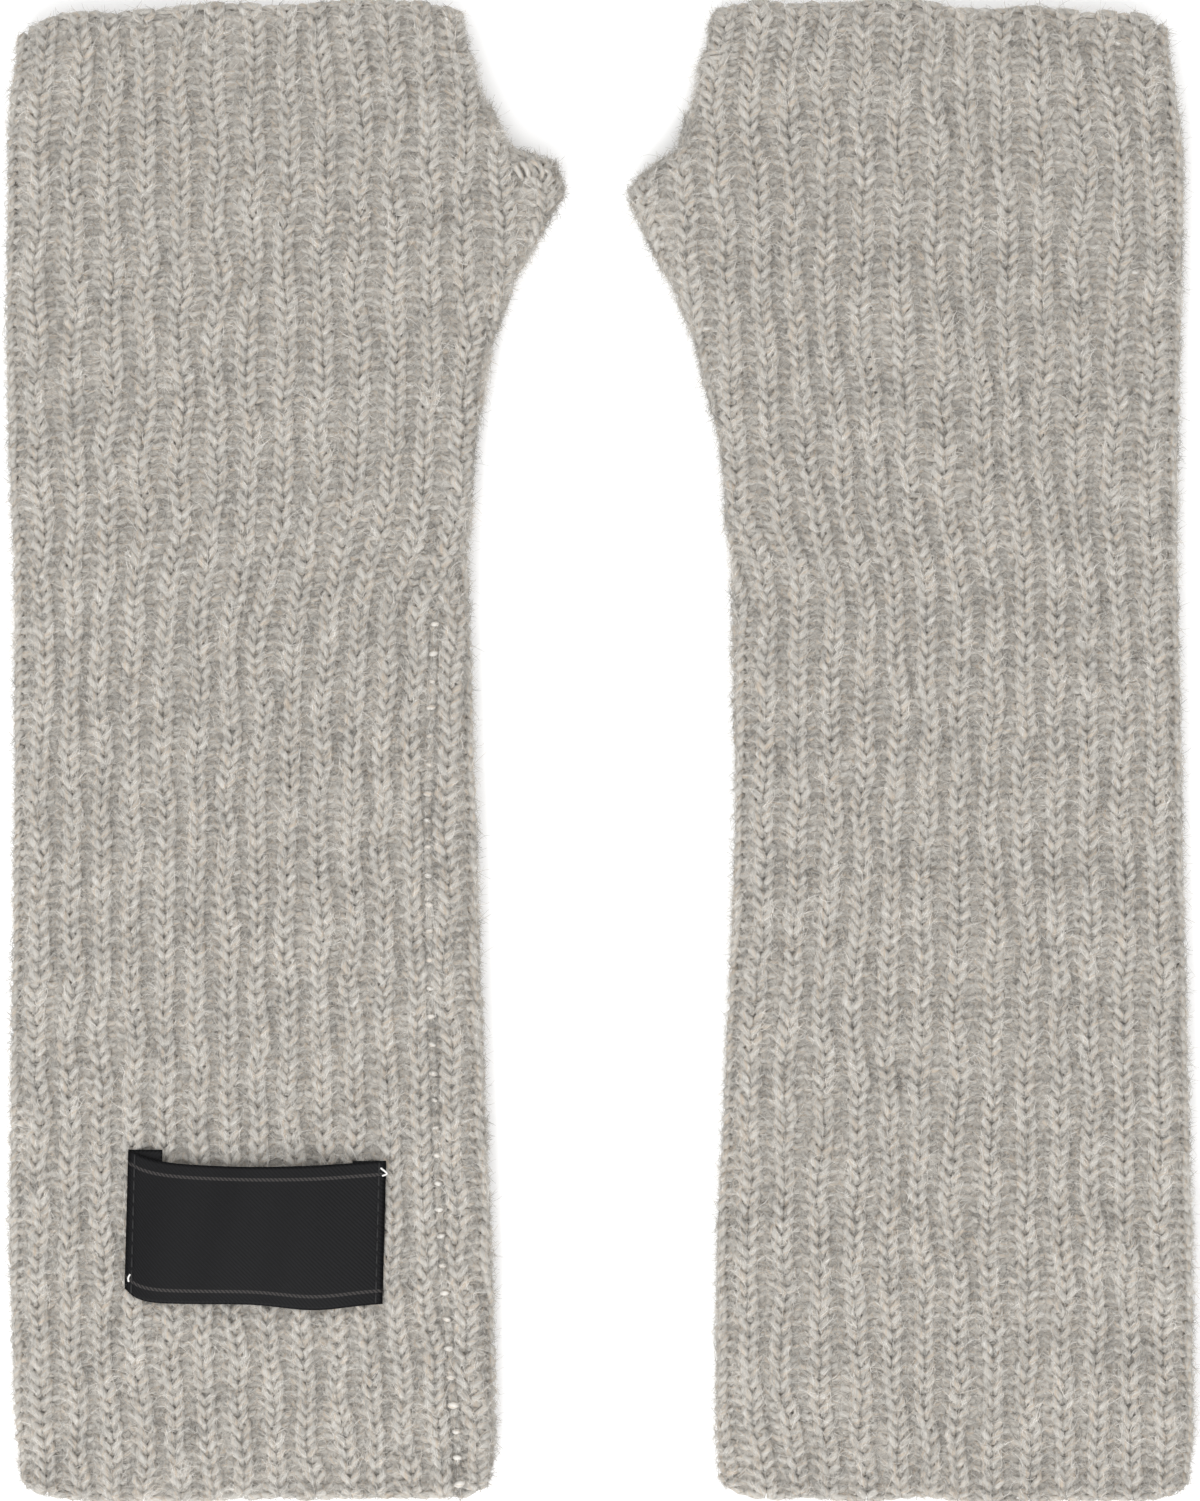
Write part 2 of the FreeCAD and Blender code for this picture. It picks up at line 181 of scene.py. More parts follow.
class Glove:
    """One glove's middle surface. s is the way round it from the outer fold, positive on the seam face."""

    def __init__(self, side, seed):
        self.side = side
        self.up = 1.0 if side == "left" else -1.0  # which way the seam face looks
        self.rng = np.random.default_rng(seed)
        self.stations = np.arange(math.ceil(LOW_END), math.floor(HIGH_END) + 1.0) + STATION_OFFSET
        self.outer_line, self.thumb_line = self.read_outline()
        self.main_line = self.without_gusset()
        self.seam_line = self.read_seam()
        self.puff = Waves(self.rng, 25, 90)
        self.rib_wander = Waves(self.rng, 14, 80)
        self.course_wander = Waves(self.rng, 20, 80)
        self.label_box = self.read_label()
        label_low, label_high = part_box(f"{side}_label")
        self.label_inner = (label_low.z if side == "left" else label_high.z) / MM

    def read_outline(self):
        """The outer and the thumb edge at each station, as distances from the line between the gloves."""
        outer = np.full(len(self.stations), -np.inf)
        thumb = np.full(len(self.stations), np.inf)
        for part in ("forearm_sleeve", "hand_sleeve"):
            points, edges = read_mesh(f"{self.side}_{part}")
            low, high = points[edges[:, 0]], points[edges[:, 1]]
            span = high[:, 1] - low[:, 1]
            for i, station in enumerate(self.stations):
                crossing = (low[:, 1] - station) * (high[:, 1] - station) < 0
                if not crossing.any():
                    continue
                share = (station - low[crossing, 1]) / span[crossing]
                across = low[crossing, 0] + share * (high[crossing, 0] - low[crossing, 0])
                outer[i] = max(outer[i], np.abs(across).max())
                thumb[i] = min(thumb[i], np.abs(across).min())
        kept = (np.abs(self.stations) <= END_CLAMP) & np.isfinite(outer)
        outer = np.interp(self.stations, self.stations[kept], outer[kept])
        thumb = np.interp(self.stations, self.stations[kept], thumb[kept])
        corner = THUMB_CORNER * np.exp(-(((self.stations - THUMB_CORNER_Y) / THUMB_CORNER_WIDTH) ** 2))
        return blur(outer, 3.0), blur(thumb, 0.7) - corner

    def without_gusset(self):
        """The thumb edge as it would run with no thumb gusset."""
        kept = (self.stations < GUSSET_LOW) | (self.stations > GUSSET_HIGH)
        line = np.interp(self.stations, self.stations[kept], self.thumb_line[kept])
        return blur(line, 5.0)

    def read_seam(self):
        """How far the seam lies inside the thumb edge at each station of the forearm."""
        points, _edges = read_mesh(f"{self.side}_forearm_seam")
        levels = np.unique(np.round(points[:, 1], 1))
        at_level = [np.abs(points[np.abs(points[:, 1] - y) < 0.1, 0]) for y in levels]
        middle = [(d.min() + d.max()) / 2 for d in at_level]
        return blur(np.interp(self.stations, levels, middle) - self.main_line, 4.0)

    def read_label(self):
        low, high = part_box(f"{self.side}_label")
        across = sorted((abs(low.x) / MM, abs(high.x) / MM))
        return across[0], across[1], low.y / MM, high.y / MM

    def outer(self, y):
        return np.interp(y, self.stations, self.outer_line) - KNIT_REACH

    def thumb(self, y):
        return np.interp(y, self.stations, self.thumb_line) + KNIT_REACH

    def half_way(self, y):
        """The way round from the outer fold to the thumb fold."""
        return self.outer(y) - self.thumb(y) + (math.pi - 2) * FOLD_RADIUS

    def main_half_way(self, y):
        main = np.interp(y, self.stations, self.main_line) + KNIT_REACH
        return self.outer(y) - main + (math.pi - 2) * FOLD_RADIUS

    def on_face(self, y):
        """1 where the seam lies on the face, 0 where it lies on the thumb fold."""
        return 1 - smooth(y, SEAM_ROUND_START, SEAM_ROUND_END)

    def seam_arc(self, y):
        """The way round from the thumb fold to the seam."""
        inset = np.interp(y, self.stations, self.seam_line)
        return (QUARTER + inset - KNIT_REACH - FOLD_RADIUS) * self.on_face(y)

    def slit(self, y):
        """How far the edges of the thumb slit stand from the fold, round the way."""
        opened = smooth(y, SLIT_START, SLIT_START + SLIT_CLOSING_LOW)
        return SLIT_ARC * opened * (1 - smooth(y, SLIT_END - SLIT_CLOSING_HIGH, SLIT_END))

    def front_pitch(self, y):
        return (self.main_half_way(y) - self.seam_arc(y)) / FRONT_RIBS

    def back_pitch(self, y):
        ribs = BACK_RIBS + SEAM_RIBS * self.on_face(y)
        return (self.main_half_way(y) + self.seam_arc(y)) / ribs

    def front_limit(self, y):
        return self.half_way(y) - self.seam_arc(y) - self.slit(y)

    def back_limit(self, y):
        return self.half_way(y) + self.seam_arc(y) - self.slit(y)

    def arc(self, ribs, y):
        """The way round at a number of ribs from the outer fold, held inside the sheet's edges."""
        front, back = self.front_limit(y), self.back_limit(y)
        s = ribs * np.where(ribs >= 0, self.front_pitch(y), self.back_pitch(y))
        s = np.where(s > front, front + (s - front) * LIMIT_SOFTNESS, s)
        return np.where(s < -back, -back + (s + back) * LIMIT_SOFTNESS, s)

    def arc_at(self, d, y):
        """The way round to a distance from the line between the gloves, on the seam face's flat part."""
        return self.outer(y) - FOLD_RADIUS - d + QUARTER

    def end_shift(self, s, y):
        """How far the ends of the sleeve pull in: at the corners, and at the outer side of the fingers."""
        d = self.section(s, y)[0]
        outwards = np.clip((d - FINGER_FALL_START) / FINGER_FALL_REACH, 0, 1)
        fall = FINGER_FALL * outwards**1.4 * smooth(y, FINGER_FALL_LOW, HIGH_END)
        near_fold = np.minimum(np.abs(s), np.abs(self.half_way(y) - np.abs(s)))
        corner = np.exp(-((near_fold / CORNER_REACH) ** 2))
        rise = corner * CUFF_CORNER_RISE * smooth(-y, -LOW_END - CORNER_DEPTH, -LOW_END)
        drop = corner * FINGER_CORNER_DROP * smooth(y, HIGH_END - CORNER_DEPTH, HIGH_END)
        return rise - drop - fall

    def section(self, s, y):
        """(d, height, normal's d, normal's height) of the middle surface, the height from the mid plane."""
        outer, thumb, length = self.outer(y), self.thumb(y), self.half_way(y)
        way = np.abs(s)
        beyond = way > length
        way = np.where(beyond, 2 * length - way, way)
        face = np.where(beyond, -1.0, 1.0) * np.where(np.asarray(s) >= 0, 1.0, -1.0)
        at_outer = np.clip(way / FOLD_RADIUS, 0, math.pi / 2)
        at_thumb = np.clip((length - way) / FOLD_RADIUS, 0, math.pi / 2)
        near_outer = way < QUARTER
        near_thumb = length - way < QUARTER
        flat = outer - FOLD_RADIUS - (way - QUARTER)
        d = np.where(near_thumb, thumb + FOLD_RADIUS * (1 - np.cos(at_thumb)), flat)
        d = np.where(near_outer, outer - FOLD_RADIUS * (1 - np.cos(at_outer)), d)
        turn = np.where(near_outer, at_outer, np.where(near_thumb, at_thumb, math.pi / 2))
        normal_d = np.where(near_outer, np.cos(turn), np.where(near_thumb, -np.cos(turn), 0.0))
        normal_h = np.sin(turn) * face
        return d, FOLD_RADIUS * normal_h, normal_d, normal_h

    def world(self, d, height):
        """World x and z from the distance to the middle line and the height over the mid plane."""
        return -self.up * d, MIDDLE + self.up * height

    def pressed(self, d, y):
        """How far the label presses into the knitting."""
        near, far, low, high = self.label_box
        out, into = PRESS_OUTSIDE, PRESS_INSIDE
        inside = smooth(d, near - out, near + into) * (1 - smooth(d, far - into, far + out))
        inside = inside * smooth(y, low - out, low + into) * (1 - smooth(y, high - into, high + out))
        return LABEL_PRESS[self.side] * inside

    def keep_off_label(self, lines):
        """Moves the fibres at the label in to its inner side."""
        near, far, low, high = self.label_box
        d, y, z = np.abs(lines[:, :, 0]), lines[:, :, 1], lines[:, :, 2]
        inside = (d > near - LABEL_ROOM) & (d < far + LABEL_ROOM)
        inside &= (y > low - LABEL_ROOM_BELOW) & (y < high + LABEL_ROOM_ABOVE)
        if self.side == "left":
            held = np.minimum(z, self.label_inner)
        else:
            held = np.where(z < MIDDLE, np.maximum(z, self.label_inner), z)
        lines[:, :, 2] = np.where(inside, held, z)

    def points(self, s, y, lift):
        """World points that stand lift outside the middle surface, and the outward normals there."""
        d, height, normal_d, normal_h = self.section(s, y)
        x, z = self.world(d + lift * normal_d, height + lift * normal_h)
        z = z + np.clip(self.up * normal_h, 0, 1) * PUFF * self.puff(d, y)
        z = z - self.up * self.pressed(d, y) * np.clip(normal_h, 0, 1)
        normal_x, normal_top = self.world(normal_d, normal_h)
        place = np.stack([x, y + self.end_shift(s, y), z], -1)
        normal = np.stack([normal_x, np.zeros_like(normal_x), normal_top - MIDDLE], -1)
        return place, normal


class Tubes:
    """Collects round yarns into one mesh, with a texture map along the yarns and a flat map for baking."""

    def __init__(self):
        self.points = []
        self.faces = []
        self.yarn_map = []
        self.flat_map = []
        self.strands = []
        self.count = 0
        self.start = 0.0

    def add(self, path, normal, radius, flat=None, lift=None):
        """One yarn along a path. radius is one number or one for each point; flat is the path on the flat
        map. lift is how far each point stands out of the sheet, and such a yarn can carry loose fibres."""
        count, sides = len(path), YARN_SIDES
        radius = np.broadcast_to(radius, (count,))
        tangent = np.gradient(path, axis=0)
        tangent /= np.linalg.norm(tangent, axis=1, keepdims=True) + 1e-9
        side = np.cross(tangent, normal)
        side /= np.linalg.norm(side, axis=1, keepdims=True) + 1e-9
        top = np.cross(side, tangent)
        if lift is not None:
            self.strands.append(np.column_stack([path, tangent, side, top, radius, lift]))
        angle = np.arange(sides) / sides * 2 * math.pi
        ring = np.cos(angle)[None, :, None] * side[:, None] + np.sin(angle)[None, :, None] * top[:, None]
        rings = (path[:, None] + radius[:, None, None] * ring).reshape(-1, 3)
        rings[:, 2] = np.maximum(rings[:, 2], 0.0)  # pressed flat where it lies on the table
        self.points.append(rings)
        row, column = np.indices((count - 1, sides)).reshape(2, -1)
        corner_row = np.stack([row, row, row + 1, row + 1], -1)
        corner_side = np.stack([column, column + 1, column + 1, column], -1)
        self.faces.append(corner_row * sides + corner_side % sides + self.count)
        step = np.linalg.norm(np.diff(path, axis=0), axis=1)
        along = self.start + np.concatenate([[0], np.cumsum(step)])
        self.start = along[-1] + YARN_MAP_GAP
        self.yarn_map.append(np.stack([along[corner_row] / 10, corner_side / sides], -1).reshape(-1, 2))
        if flat is None:
            flat = np.stack([np.linspace(0, 1, count), np.full(count, 0.001)], -1)
        # the outward half of each yarn has one half of the flat map, the inward half the other
        half = np.where(column < sides / 2, 0.0, 0.5)[:, None]
        flat_u = flat[corner_row, 0] * 0.5 + half
        self.flat_map.append(np.stack([flat_u, flat[corner_row, 1]], -1).reshape(-1, 2))
        self.count += count * sides

    def build(self, name, material, fibres=None):
        points, faces = np.concatenate(self.points), np.concatenate(self.faces)
        maps = {"YarnUV": np.concatenate(self.yarn_map), "OFBake": np.concatenate(self.flat_map)}
        return make_mesh(name, points, faces, material, maps, fibres)


def new_object(name, data):
    made = bpy.data.objects.new(name, data)
    bpy.context.scene.collection.objects.link(made)
    return made


def make_mesh(name, points, faces, material, maps=None, fibres=None):
    """A smooth mesh of quads from points in millimetres. Fibres are loose edges that it carries."""
    mesh = bpy.data.meshes.new(name)
    body_count = len(points)
    if fibres is not None:
        fibres, tone = fibres
        lines, steps = fibres.shape[:2]
        first = body_count + np.arange(lines)[:, None] * steps + np.arange(steps - 1)[None, :]
        points = np.concatenate([points, fibres.reshape(-1, 3)])
        edges = np.stack([first.ravel(), first.ravel() + 1], -1)
        mesh.edges.add(len(edges))
        mesh.edges.foreach_set("vertices", edges.astype(np.int32).ravel())
    mesh.vertices.add(len(points))
    mesh.vertices.foreach_set("co", (points * MM).astype(np.float32).ravel())
    mesh.loops.add(faces.size)
    mesh.loops.foreach_set("vertex_index", faces.astype(np.int32).ravel())
    mesh.polygons.add(len(faces))
    mesh.polygons.foreach_set("loop_start", np.arange(len(faces), dtype=np.int32) * faces.shape[1])
    mesh.polygons.foreach_set("use_smooth", np.ones(len(faces), bool))
    for map_name, values in (maps or {}).items():
        layer = mesh.uv_layers.new(name=map_name)
        layer.data.foreach_set("uv", values.astype(np.float32).ravel())
    mesh.update(calc_edges=True)
    mesh.validate()
    if fibres is not None:
        is_fibre = np.arange(len(points)) >= body_count
        mesh.attributes.new("fibre", "BOOLEAN", "POINT").data.foreach_set("value", is_fibre)
        tones = np.concatenate([np.full(body_count, 0.5), np.repeat(tone.ravel(), steps)])
        mesh.attributes.new("tone", "FLOAT", "POINT").data.foreach_set("value", tones.astype(np.float32))
    mesh.materials.append(material)
    return new_object(name, mesh)


def grid_faces(rows, columns):
    """The quads of a grid of points."""
    row, column = np.indices((rows - 1, columns - 1)).reshape(2, -1)
    first = row * columns + column
    return np.stack([first, first + 1, first + columns + 1, first + columns], -1)


# ---------------- materials


def add_node(tree, kind, inputs=None, **settings):
    """A node with its settings, and with each input either joined to a socket or given a value."""
    node = tree.nodes.new(kind)
    for key, value in settings.items():
        setattr(node, key, value)
    for key, value in (inputs or {}).items():
        if isinstance(value, bpy.types.NodeSocket):
            tree.links.new(value, node.inputs[key])
        else:
            node.inputs[key].default_value = value
    return node


class Nodes:
    """A short way to build a node material. Kinds of node go without ShaderNode in front."""

    def __init__(self, name):
        self.material = bpy.data.materials.new(name)
        self.material.use_nodes = True
        self.tree = self.material.node_tree
        self.shader = self.tree.nodes["Principled BSDF"]

    def add(self, kind, inputs=None, **settings):
        return add_node(self.tree, "ShaderNode" + kind, inputs, **settings)

    def uv_map(self, name):
        return self.add("UVMap", uv_map=name).outputs["UV"]

    def maths(self, operation, *values):
        return self.add("Math", dict(enumerate(values)), operation=operation).outputs[0]

    def scaled(self, vector, factors):
        node = self.add("VectorMath", {0: vector, 1: factors}, operation="MULTIPLY")
        return node.outputs[0]

    def spread(self, value, low, high, start=0.0, end=1.0):
        """A value that lies from start to end, spread from low to high."""
        inputs = {"Value": value, "From Min": start, "From Max": end, "To Min": low, "To Max": high}
        return self.add("MapRange", inputs).outputs[0]

    def noise(self, vector, scale, **settings):
        inputs = {"Vector": vector, "Scale": scale, **settings}
        return self.add("TexNoise", inputs).outputs["Fac"]

    def bump(self, height, strength, distance):
        """Fine relief on the surface. distance is in metres."""
        bump = self.add("Bump", {"Height": height, "Strength": strength, "Distance": distance})
        self.link(bump.outputs[0], "Normal")

    def finish(self, values):
        """The material, with the plain values of its surface."""
        for socket, value in values.items():
            self.shader.inputs[socket].default_value = value
        return self.material

    def link(self, out, socket):
        self.tree.links.new(out, self.shader.inputs[socket])

    def ramp(self, factor, stops):
        node = self.add("ValToRGB", {"Fac": factor})
        points = node.color_ramp.elements
        while len(points) < len(stops):
            points.new(1.0)
        for point, (place, colour) in zip(points, stops):
            point.position = place
            point.color = colour
        return node.outputs["Color"]

    def mix(self, factor, first, second, blend="MIX"):
        inputs = {0: factor, 6: first, 7: second}
        return self.add("Mix", inputs, data_type="RGBA", blend_type=blend).outputs[2]


def srgb(red, green, blue):
    """A linear colour with alpha from an 8-bit screen colour."""
    parts = [c / 255 for c in (red, green, blue)]
    linear = [c / 12.92 if c <= 0.04045 else ((c + 0.055) / 1.055) ** 2.4 for c in parts]
    return (*linear, 1.0)


YARN_TWIST = 1.6  # turns of the fibres for each centimetre of yarn


def wool_material(name, dark, body, pale):
    """Marl wool: fibres of several greys twisted along the yarn, soft and rough."""
    nodes = Nodes(name)
    yarn = nodes.uv_map("YarnUV")
    place = nodes.add("SeparateXYZ", {"Vector": yarn})
    along, around = place.outputs["X"], place.outputs["Y"]
    # the fibres turn round the yarn as they run along it
    turns = nodes.maths("ADD", around, nodes.maths("MULTIPLY", along, YARN_TWIST))
    angle = nodes.maths("MULTIPLY", turns, 2 * math.pi)
    circle = {"Y": nodes.maths("COSINE", angle), "Z": nodes.maths("SINE", angle)}
    fibre_space = nodes.add("CombineXYZ", {"X": along, **circle}).outputs[0]
    stretched = nodes.scaled(fibre_space, (1.1, 1.0, 1.0))
    fibres = nodes.noise(stretched, 3.6, Detail=4.0, Roughness=0.68, Distortion=0.4)
    blots = nodes.noise(nodes.scaled(fibre_space, (1.1, 0.30, 0.30)), 1.7, Detail=2.0, Roughness=0.6)
    marl = nodes.maths("MULTIPLY_ADD", blots, 0.38, nodes.maths("MULTIPLY", fibres, 0.62))
    colour = nodes.ramp(marl, [(0.30, dark), (0.47, body), (0.55, body), (0.70, pale)])
    tan = nodes.spread(nodes.noise(stretched, 1.3, Detail=1.0), 0.0, 0.65, start=0.5, end=0.7)
    nodes.link(nodes.mix(tan, colour, srgb(184, 166, 145)), "Base Color")
    nodes.link(nodes.spread(fibres, 0.82, 1.0), "Roughness")
    nodes.bump(fibres, 0.55, 0.00035)
    sheen = {"Sheen Weight": 0.35, "Sheen Roughness": 0.55, "Sheen Tint": srgb(235, 230, 222)}
    return nodes.finish({"Specular IOR Level": 0.15, **sheen})


wool = wool_material("marl_wool", srgb(132, 127, 121), srgb(184, 181, 175), srgb(218, 215, 210))
pale_wool = wool_material("pale_stitch_wool", srgb(182, 178, 171), srgb(214, 211, 205), srgb(240, 238, 233))


def inner_wool_material():
    """The felted heart of the knitting, seen only between the yarns."""
    nodes = Nodes("inner_wool")
    place = nodes.add("TexCoord").outputs["Object"]
    soft = nodes.noise(place, 900.0, Detail=4.0)
    colour = nodes.ramp(soft, [(0.3, srgb(148, 143, 137)), (0.7, srgb(190, 186, 179))])
    nodes.link(colour, "Base Color")
    nodes.bump(soft, 0.6, 0.0004)
    return nodes.finish({"Roughness": 0.95, "Specular IOR Level": 0.1})


inner_wool = inner_wool_material()


# ---------------- knitting


def knit_course(glove, tubes, base, reach):
    """One course of loops, from the seam round the back and the outer fold to the seam again."""
    front = glove.front_limit(base) / glove.front_pitch(base)
    back = glove.back_limit(base) / glove.back_pitch(base)
    first, last = -int(2 * back + LAST_LOOP), int(2 * front + LAST_LOOP)
    count = (last - first + 1) * POINTS_PER_LOOP + 1
    turn = np.linspace(0, 2 * math.pi * (last - first + 1), count)
    wale = first - 0.5 + turn / (2 * math.pi)
    wales = np.arange(first - 1, last + 2)

    def uneven(size):
        """One seeded number for each loop, changing evenly from each to the next."""
        return np.interp(wale, wales, glove.rng.normal(0, size, len(wales)))

    place = wale + LOOP_WAIST * np.sin(2 * turn) + uneven(WALE_SPREAD)
    knit = np.rint(wale).astype(int) % 2 == 0
    outward = np.where(knit, 1.0, -1.0)
    rise = 1 - np.cos(turn / 2) ** 4
    leg = LEG_RISE + uneven(LEG_SPREAD)
    head_to_leg = np.where(knit, leg, PURL_LEG_RISE + leg - LEG_RISE)
    lift = outward * rise * (np.where(knit, LOOP_RISE, PURL_RISE) - head_to_leg * np.cos(2 * turn))
    height = reach * (1 + uneven(HEIGHT_SPREAD))
    y = base - height * np.cos(turn) + uneven(COURSE_SPREAD)
    y += COURSE_WANDER * glove.course_wander(4 * place, base)
    ribs = place / 2 + RIB_GATHER * np.sin(math.pi * place) + RIB_WANDER * glove.rib_wander(4 * place, base)
    s = glove.arc(ribs, np.full(count, base))
    s = np.clip(s, -glove.back_limit(y) - LOOP_OVERHANG, glove.front_limit(y) + LOOP_OVERHANG)
    path, normal = glove.points(s, y, lift)
    radius = YARN_RADIUS * (1 + uneven(RADIUS_SPREAD))
    flat_u = (place / 2 + FLAT_MAP_FIRST_RIB) / FLAT_MAP_RIBS
    flat_v = (y - LOW_END + FLAT_MAP_MARGIN) / (HIGH_END - LOW_END + 2 * FLAT_MAP_MARGIN)
    flat = np.clip(np.stack([flat_u, flat_v], -1), 0.001, 0.999)
    tubes.add(path, normal, radius, flat, lift=lift)


def knit_glove(glove):
    """All the courses of one glove. The first and the last are low loops, which bind the ends."""
    tubes = Tubes()
    low = LOW_END + EDGE_COURSES
    high = HIGH_END - EDGE_COURSES
    courses = round((high - low) / COURSE_PITCH)
    for course, base in enumerate(np.linspace(low, high, courses + 1)):
        at_end = course in (0, courses)
        knit_course(glove, tubes, base, LOOP_REACH * (END_LOOP if at_end else 1.0))
    return tubes


def inner_sheet(glove):
    """The sheet that the yarns lie in, one layer, open along the seam, and its girth in metres."""
    rows, columns = 150, 110
    y = np.linspace(LOW_END + CORE_INSET, HIGH_END - CORE_INSET, rows)[:, None]
    share = np.linspace(0, 1, columns)[None, :]
    s = share * glove.front_limit(y) - (1 - share) * glove.back_limit(y)
    y = np.broadcast_to(y, s.shape)
    place, _normal = glove.points(s, y, 0.0)
    name, faces = f"{glove.side}_felted_core", grid_faces(rows, columns)
    made = make_mesh(name, place.reshape(-1, 3), faces, inner_wool)
    return made, 2 * glove.half_way(0.0) * MM


# ---------------- seams


SEAM_SHIFT = -0.1  # from the edge of the seam face to the seam yarn
SEAM_THREAD_RADIUS = 0.95
SEAM_THREAD_LIFT = 0.2
SEAM_THREAD_WAVE = 0.25  # how far the courses draw the seam yarn in and out
SEAM_STITCH_PITCH = 5.95
SEAM_STITCH_RADIUS = 0.78
SEAM_STITCH_REACH = 1.1  # half its length across the seam
SEAM_STITCH_SIZES = (0.78, 1.12)
SEAM_STITCH_LIFT = 1.15
SEAM_STITCH_ARCH = 0.9  # how much lower its ends lie than its middle
SEAM_STITCH_FADE = 0.28  # how much smaller the stitches are further up the arm
SELVEDGE_RADIUS = 0.8
SELVEDGE_INSET = 0.4
SELVEDGE_LIFT = 0.35


def seam_run(glove, low, high):
    """The yarn that closes the seam, from one height to another, drawn in at every course."""
    y = np.arange(low, high, 0.5)
    course = y * 2 * math.pi / COURSE_PITCH
    s = glove.front_limit(y) + SEAM_SHIFT + SEAM_THREAD_WAVE * np.sin(course / 2)
    path, normal = glove.points(s, y, SEAM_THREAD_LIFT + SEAM_THREAD_WAVE * np.cos(course))
    tubes = Tubes()
    radius = SEAM_THREAD_RADIUS * (1 + 0.10 * np.cos(course))
    tubes.add(path, normal, radius, lift=np.full(len(y), 0.6))
    return tubes


def seam_tufts(glove, low, high):
    """Pale stitches across the seam, plumpest near the cuff."""
    tubes = Tubes()
    rng = glove.rng
    share = np.linspace(-1, 1, 7)
    y = low
    while y < high:
        fade = 1.0 - SEAM_STITCH_FADE * smooth(y, LOW_END + 12, LOW_END + 55)
        size = fade * rng.uniform(*SEAM_STITCH_SIZES)
        across = glove.front_limit(y) + SEAM_SHIFT + SEAM_STITCH_REACH * size * share
        along = y + rng.uniform(-0.25, 0.25) * share
        lift = SEAM_STITCH_LIFT + 0.5 * size - SEAM_STITCH_ARCH * share**2
        path, normal = glove.points(across, along, lift)
        tubes.add(path, normal, SEAM_STITCH_RADIUS * size * np.sqrt(np.clip(1.08 - share**2, 0.02, 1)))
        y += SEAM_STITCH_PITCH + rng.uniform(-0.4, 0.4)
    return tubes


def selvedge(glove, tubes):
    """The bound edges of the thumb slit, one on each face, from the gusset's tip to the slit's head."""
    for face in (1, -1):
        y = np.arange(SLIT_START - 2.5, SLIT_END + 1.5, 0.4)
        limit = glove.front_limit(y) if face == 1 else glove.back_limit(y)
        wave = np.cos(y * 2 * math.pi / COURSE_PITCH)
        s = face * (limit - SELVEDGE_INSET + 0.2 * wave)
        path, normal = glove.points(s, y, SELVEDGE_LIFT + 0.3 * wave)
        tubes.add(path, normal, SELVEDGE_RADIUS * (1 + 0.12 * wave), lift=np.full(len(y), 1.0))


def strand(glove, tubes, places, radius, lift):
    """A loose end of yarn on the seam face, through a few (distance from the middle line, y) places."""
    at, (d, y) = smooth_line(places, 6)
    end = np.minimum(at, len(places) - 1 - at)
    path, normal = glove.points(glove.arc_at(d, y), y, lift * smooth(end, -0.6, 0.5))
    tubes.add(path, normal, radius * (0.7 + 0.3 * smooth(end, 0, 0.5)))


def smooth_line(places, steps):
    """A Catmull-Rom line through a few places: how many places along it each point is, and the points."""
    knots = np.array(places, float)
    at = np.linspace(0, len(knots) - 1, steps * len(knots))
    padded = np.concatenate([[2 * knots[0] - knots[1]], knots, [2 * knots[-1] - knots[-2]]])
    i = np.clip(at.astype(int), 0, len(knots) - 2)
    t = (at - i)[:, None]
    before, start, end, after = (padded[i + k] for k in range(4))
    line = 0.5 * (
        2 * start
        + (end - before) * t
        + (2 * before - 5 * start + 4 * end - after) * t**2
        + (3 * start - before - 3 * end + after) * t**3
    )
    return at, line.T


THUMB_STRANDS = (  # places, radius, lift
    (((18.4, 125.4), (17.6, 124.2), (16.6, 122.4)), 0.62, 1.6),
    (((16.9, 126.0), (15.8, 124.8), (15.0, 122.6)), 0.62, 1.7),
    (((15.1, 126.2), (13.6, 125.1), (12.8, 122.8)), 0.60, 1.8),
    (((13.0, 124.6), (11.9, 123.6), (12.0, 121.7)), 0.55, 2.0),
)
SLIT_HEAD_STRANDS = ((0.0, 0.7), (1.5, 0.62))  # how far past the slit's head, radius
SLIT_HEAD_REACH = 5.5


def thumb_ends(glove):
    """The yarn ends darned in at the tip of the gusset, and those round the head of the slit."""
    low = Tubes()
    for places, radius, lift in THUMB_STRANDS:
        strand(glove, low, places, radius, lift)
    high = Tubes()
    share = np.linspace(-1, 1, 24)
    for offset, radius in SLIT_HEAD_STRANDS:
        y = SLIT_END + 0.4 + offset + 0.5 * share
        path, normal = glove.points(glove.half_way(y) + SLIT_HEAD_REACH * share, y, 1.3 - 0.6 * share**2)
        high.add(path, normal, radius)
    return low, high


# ---------------- label


LABEL_HEIGHT = (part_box("left_label")[1].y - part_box("left_label")[0].y) / MM
LABEL_FOLD = 7.0  # how far each end is turned under
LABEL_CLOTH = 0.28
LABEL_SHIFT = 0.8  # how far up it is sewn
LABEL_LEAN = 0.8  # how far its lower edge lies outside its upper one
LABEL_BOW = {"left": 1.5, "right": 0.25}
TOP_SAG = 1.2
TOP_CURL = 2.4  # how far the far corners turn up
TOP_CURL_SHARE = 0.07  # the share of the label's length over which they do
BOTTOM_CURL = 3.2
BOTTOM_CURL_SHARE = 0.045
BELLY = 1.3  # how far the bottom edge hangs down
BELLY_SHARE = 0.74  # where, as a share of the way from the far end
BELLY_WIDTH = 0.17
STITCH_RADIUS = 0.2
STITCH_COUNT = 11
STITCH_INSET = 1.2
TACK_LIFT = {"left": 0.35, "right": 0.0}
BORDER_INSET = 12.6  # how far the woven border lines lie from the middle of the label
BORDER_HALF = 0.35


